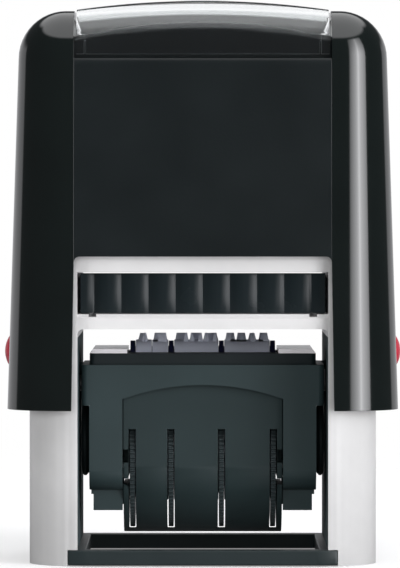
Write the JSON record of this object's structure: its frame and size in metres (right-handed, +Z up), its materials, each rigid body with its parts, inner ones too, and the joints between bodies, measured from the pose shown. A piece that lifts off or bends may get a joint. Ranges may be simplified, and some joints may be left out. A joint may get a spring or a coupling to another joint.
{
  "type": "self-inking date stamp",
  "caption": "Desk stamp whose sprung cap flips a date-band print unit from an ink cartridge down to the paper through an open base.",
  "frame": {"origin": "centre of the footprint, on the surface that the stamp stands on", "axes": "+Z up through the cap, -Y to the front where the setting wheels show, +X to the viewer's right"},
  "size_m": [0.0728, 0.0524, 0.1016],
  "materials": {
    "base_plastic": "fine satin moulding",
    "black_plastic": "satin moulding",
    "cartridge_plastic": "satin moulding",
    "ink_felt": "ink-soaked felt",
    "cap_gloss": "high gloss",
    "steel": "drawn wire and bar",
    "clear_plastic": "clear polished plastic",
    "card": "plain white card",
    "button_red": "gloss",
    "unit_plastic": "satin moulding",
    "carrier_plastic": "pale satin sheet",
    "navy_plastic": "satin moulding",
    "band_rubber": "moulded rubber",
    "guard_plastic": "satin moulding",
    "wheel_plastic": "knurled moulding"
  },
  "bodies": {
    "base": {"base_frame": "base_plastic", "foot_frame": "black_plastic", "left_cam_wall": "black_plastic", "right_cam_wall": "black_plastic"},
    "cartridge": {"ink_cartridge": "cartridge_plastic", "ink_pad": "ink_felt"},
    "cap": {"cap_shell": "cap_gloss", "yoke": "black_plastic", "axle_pins": "steel", "return_spring": "steel"},
    "window": {"imprint_window": "clear_plastic", "imprint_card": "card"},
    "left_button": {"left_lock_button": "button_red"},
    "right_button": {"right_lock_button": "button_red"},
    "print_unit": {"unit_housing": "unit_plastic", "die_plate": "unit_plastic", "text_carrier": "carrier_plastic", "band_bridge": "navy_plastic", "day_tens_band": "band_rubber", "day_units_band": "band_rubber", "month_band": "band_rubber", "year_band": "band_rubber", "wheel_guard": "guard_plastic", "wheel_axle": "steel", "left_guide_disc": "black_plastic", "right_guide_disc": "black_plastic"},
    "day_tens": {"day_tens_wheel": "wheel_plastic"},
    "day_units": {"day_units_wheel": "wheel_plastic"},
    "month": {"month_wheel": "wheel_plastic"},
    "year": {"year_wheel": "wheel_plastic"}
  },
  "joints": [
    {"name": "cap_press", "type": "slide", "parent": "base", "child": "cap", "axis": [0, 0, -1], "range_m": [0, 0.024], "stiffness_N_per_m": 400, "springref_m": -0.012, "deforming": ["return_spring"]},
    {"name": "unit_flip", "type": "hinge", "parent": "cap", "child": "print_unit", "pos_m": [0, 0, 0.03265], "axis": [-1, 0, 0], "range_deg": [0, 180]},
    {"name": "day_tens_turn", "type": "hinge", "parent": "print_unit", "child": "day_tens", "pos_m": [-0.01283, 0, 0.0175], "axis": [1, 0, 0], "continuous": true},
    {"name": "day_units_turn", "type": "hinge", "parent": "print_unit", "child": "day_units", "pos_m": [-0.00579, 0, 0.0175], "axis": [1, 0, 0], "continuous": true},
    {"name": "month_turn", "type": "hinge", "parent": "print_unit", "child": "month", "pos_m": [0.00342, 0, 0.0175], "axis": [1, 0, 0], "continuous": true},
    {"name": "year_turn", "type": "hinge", "parent": "print_unit", "child": "year", "pos_m": [0.01283, 0, 0.0175], "axis": [1, 0, 0], "continuous": true},
    {"name": "cartridge_slide", "type": "slide", "parent": "base", "child": "cartridge", "axis": [0, 1, 0], "range_m": [-0.046, 0]},
    {"name": "left_button_push", "type": "slide", "parent": "cap", "child": "left_button", "axis": [-1, 0, 0], "range_m": [-0.0012, 0], "stiffness_N_per_m": 300, "springref_m": 0.0005},
    {"name": "right_button_push", "type": "slide", "parent": "cap", "child": "right_button", "axis": [1, 0, 0], "range_m": [-0.0012, 0], "stiffness_N_per_m": 300, "springref_m": 0.0005},
    {"name": "window_lift", "type": "slide", "parent": "cap", "child": "window", "axis": [0, 0, 1], "range_m": [0, 0.012]}
  ],
  "couplings": [
    {"joint": "unit_flip", "follows": "cap_press", "rad_per_m": 130.9}
  ]
}
